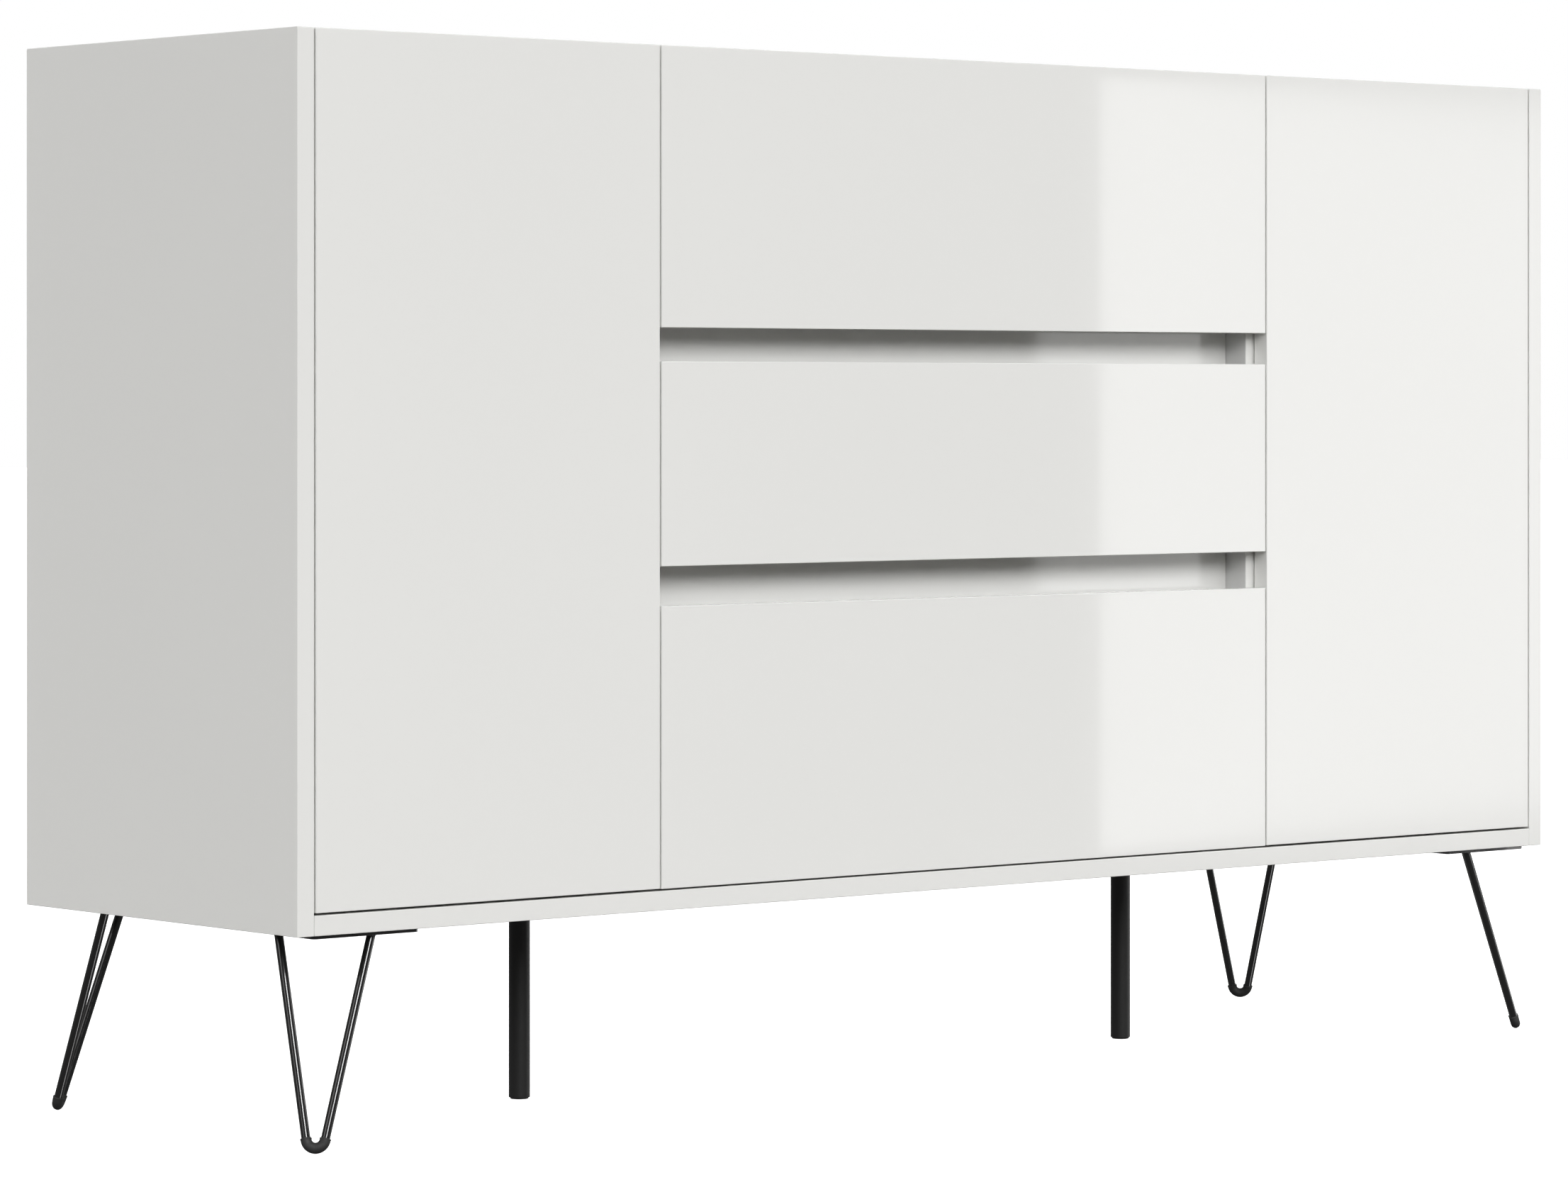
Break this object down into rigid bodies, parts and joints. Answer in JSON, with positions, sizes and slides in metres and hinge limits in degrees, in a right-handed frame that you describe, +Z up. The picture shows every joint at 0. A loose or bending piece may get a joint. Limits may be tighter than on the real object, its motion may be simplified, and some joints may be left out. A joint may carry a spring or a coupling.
{
  "type": "sideboard",
  "caption": "White high-gloss sideboard with a door at each side, drawers with recessed grip rails between them, and black hairpin legs.",
  "frame": {"origin": "on the floor, under the middle of the cabinet", "axes": "+X along the width to the right seen from the front, +Y from the front to the back, +Z up; the doors and drawers face -Y"},
  "size_m": [1.6, 0.43, 0.9845],
  "materials": {
    "gloss_lacquer": "white high-gloss lacquer on fibreboard",
    "melamine": "white satin melamine on particleboard",
    "hardboard": "white coated hardboard",
    "coated_steel": "light grey powder coat",
    "zinc_steel": "bright zinc plate",
    "black_lacquered_steel": "gloss black lacquer",
    "black_rubber": "matt",
    "black_plastic": "satin",
    "grey_plastic": "satin"
  },
  "bodies": {
    "carcass": {"side_panel_left": "gloss_lacquer", "side_panel_right": "gloss_lacquer", "top_panel": "gloss_lacquer", "bottom_panel": "gloss_lacquer", "divider_left": "melamine", "divider_right": "melamine", "back_panel": "hardboard", "grip_rail_upper": "gloss_lacquer", "grip_rail_lower": "gloss_lacquer", "shelf_left": "melamine", "shelf_right": "melamine", "hinge_arm_left_upper": "zinc_steel", "hinge_arm_left_lower": "zinc_steel", "hinge_arm_right_upper": "zinc_steel", "hinge_arm_right_lower": "zinc_steel", "push_latch_housing_left": "grey_plastic", "push_latch_housing_right": "grey_plastic", "cabinet_runner_upper_left": "coated_steel", "cabinet_runner_upper_right": "coated_steel", "cabinet_runner_middle_left": "coated_steel", "cabinet_runner_middle_right": "coated_steel", "cabinet_runner_lower_left": "coated_steel", "cabinet_runner_lower_right": "coated_steel", "hairpin_leg_front_left": "black_lacquered_steel", "hairpin_leg_front_right": "black_lacquered_steel", "hairpin_leg_rear_left": "black_lacquered_steel", "hairpin_leg_rear_right": "black_lacquered_steel", "foot_cap_front_left": "black_rubber", "foot_cap_front_right": "black_rubber", "foot_cap_rear_left": "black_rubber", "foot_cap_rear_right": "black_rubber", "middle_foot_left": "black_plastic", "middle_foot_right": "black_plastic"},
    "door_left": {"door_left": "gloss_lacquer", "hinge_cup_left_upper": "zinc_steel", "hinge_cup_left_lower": "zinc_steel"},
    "hinge_links_left": {"hinge_link_left_upper": "zinc_steel", "hinge_link_left_lower": "zinc_steel"},
    "push_plunger_left": {"push_latch_plunger_left": "grey_plastic"},
    "door_right": {"door_right": "gloss_lacquer", "hinge_cup_right_upper": "zinc_steel", "hinge_cup_right_lower": "zinc_steel"},
    "hinge_links_right": {"hinge_link_right_upper": "zinc_steel", "hinge_link_right_lower": "zinc_steel"},
    "push_plunger_right": {"push_latch_plunger_right": "grey_plastic"},
    "drawer_upper": {"drawer_front_upper": "gloss_lacquer", "drawer_side_upper_left": "coated_steel", "drawer_side_upper_right": "coated_steel", "drawer_back_upper": "melamine", "drawer_bottom_upper": "melamine"},
    "drawer_middle": {"drawer_front_middle": "gloss_lacquer", "drawer_side_middle_left": "coated_steel", "drawer_side_middle_right": "coated_steel", "drawer_back_middle": "melamine", "drawer_bottom_middle": "melamine"},
    "drawer_lower": {"drawer_front_lower": "gloss_lacquer", "drawer_side_lower_left": "coated_steel", "drawer_side_lower_right": "coated_steel", "drawer_back_lower": "melamine", "drawer_bottom_lower": "melamine"}
  },
  "joints": [
    {"name": "door_left_hinge", "type": "hinge", "parent": "carcass", "child": "door_left", "pos_m": [-0.78, -0.215, 0.1915], "axis": [0, 0, -1], "range_deg": [0, 95]},
    {"name": "hinge_links_left_reach", "type": "slide", "parent": "carcass", "child": "hinge_links_left", "axis": [0, -1, 0], "range_m": [0, 0.027]},
    {"name": "push_plunger_left_travel", "type": "slide", "parent": "carcass", "child": "push_plunger_left", "axis": [0, -1, 0], "range_m": [0, 0.012]},
    {"name": "door_right_hinge", "type": "hinge", "parent": "carcass", "child": "door_right", "pos_m": [0.78, -0.215, 0.1915], "axis": [0, 0, 1], "range_deg": [0, 95]},
    {"name": "hinge_links_right_reach", "type": "slide", "parent": "carcass", "child": "hinge_links_right", "axis": [0, -1, 0], "range_m": [0, 0.027]},
    {"name": "push_plunger_right_travel", "type": "slide", "parent": "carcass", "child": "push_plunger_right", "axis": [0, -1, 0], "range_m": [0, 0.012]},
    {"name": "drawer_upper_slide", "type": "slide", "parent": "carcass", "child": "drawer_upper", "axis": [0, -1, 0], "range_m": [0, 0.26]},
    {"name": "drawer_middle_slide", "type": "slide", "parent": "carcass", "child": "drawer_middle", "axis": [0, -1, 0], "range_m": [0, 0.26]},
    {"name": "drawer_lower_slide", "type": "slide", "parent": "carcass", "child": "drawer_lower", "axis": [0, -1, 0], "range_m": [0, 0.26]}
  ],
  "couplings": [
    {"joint": "hinge_links_left_reach", "follows": "door_left_hinge", "m_per_rad": 0.01628},
    {"joint": "push_plunger_left_travel", "follows": "door_left_hinge", "m_per_rad": 0.0072},
    {"joint": "hinge_links_right_reach", "follows": "door_right_hinge", "m_per_rad": 0.01628},
    {"joint": "push_plunger_right_travel", "follows": "door_right_hinge", "m_per_rad": 0.0072}
  ]
}
